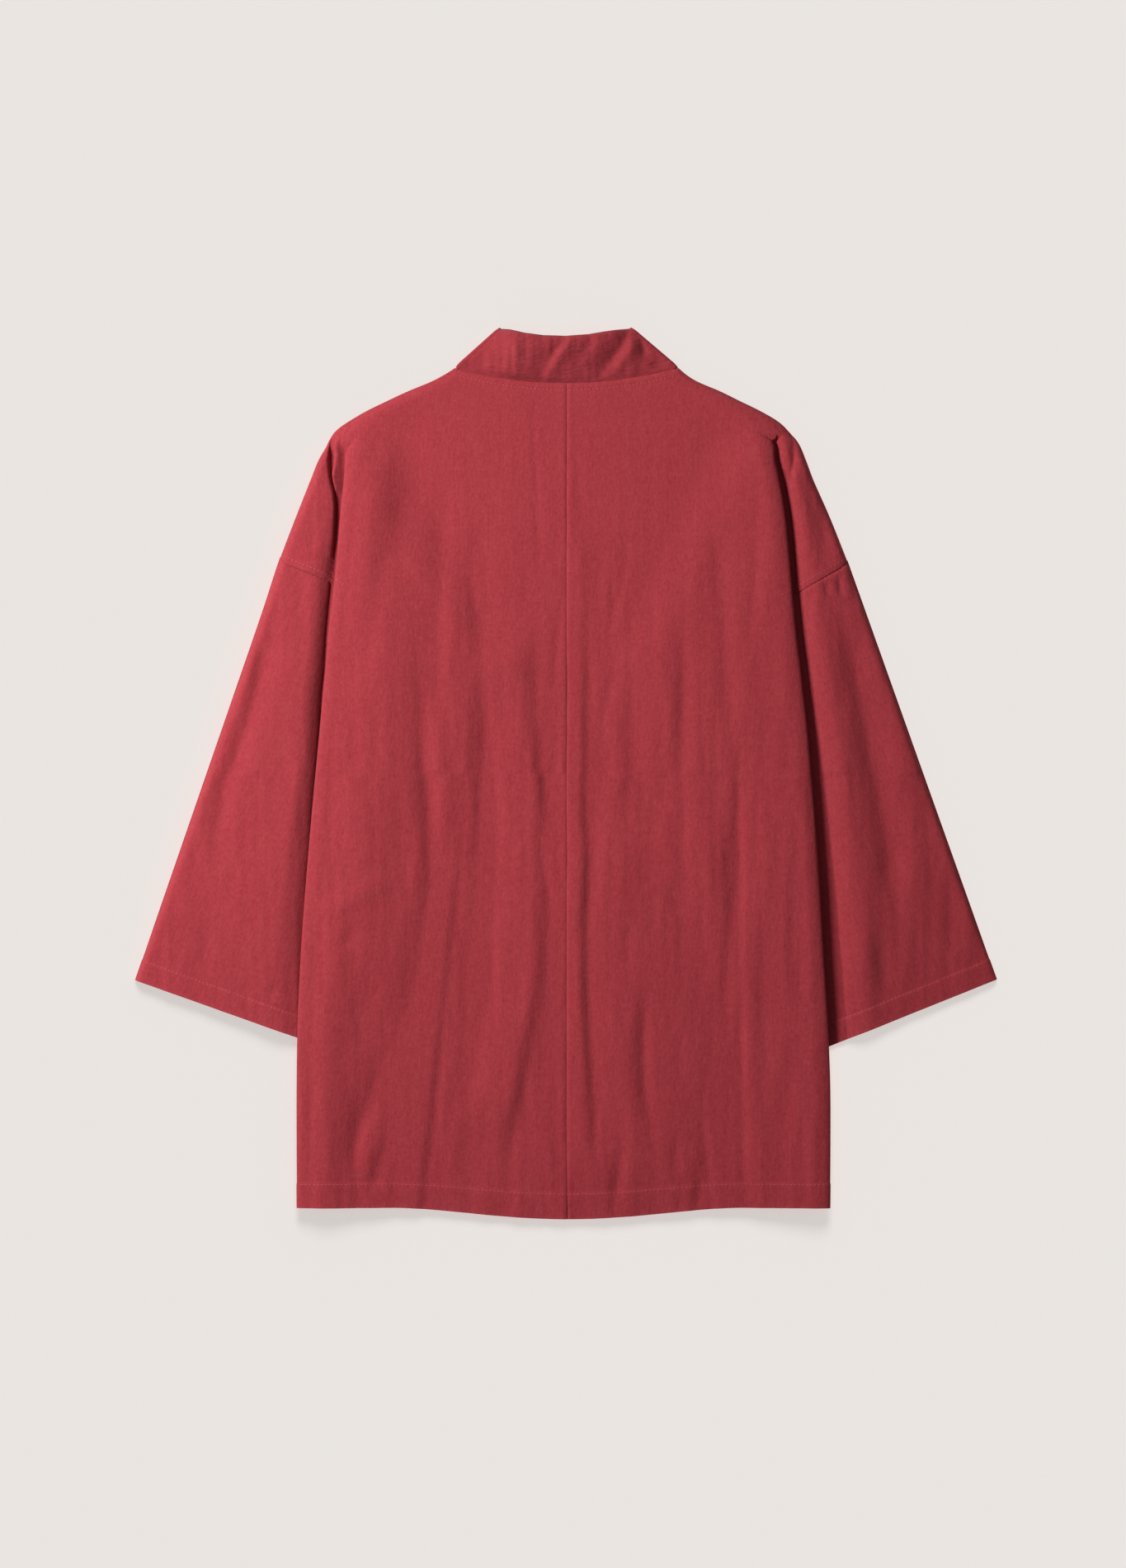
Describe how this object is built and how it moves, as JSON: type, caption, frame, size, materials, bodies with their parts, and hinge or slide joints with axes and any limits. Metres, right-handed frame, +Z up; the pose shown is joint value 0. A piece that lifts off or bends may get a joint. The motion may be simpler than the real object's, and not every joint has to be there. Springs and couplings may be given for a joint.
{
  "type": "kimono jacket",
  "caption": "Short kimono jacket with wide dropped-shoulder sleeves and a plain neckband, laid flat with its back upwards and its sides tucked in.",
  "frame": {"origin": "centre of the laid-out jacket, on the surface it lies on", "axes": "+Y along the centre back towards the collar, +Z up out of the surface through the back, +X towards the wearer's right sleeve"},
  "size_m": [0.7305, 0.7553, 0.0148],
  "materials": {
    "cloth": "matte slubbed linen-cotton plain weave, washed and lightly creased"
  },
  "bodies": {
    "root": {"back_left": "cloth", "back_right": "cloth", "front_left": "cloth", "front_right": "cloth", "sleeve_left": "cloth", "sleeve_right": "cloth", "neckband": "cloth"}
  },
  "joints": []
}
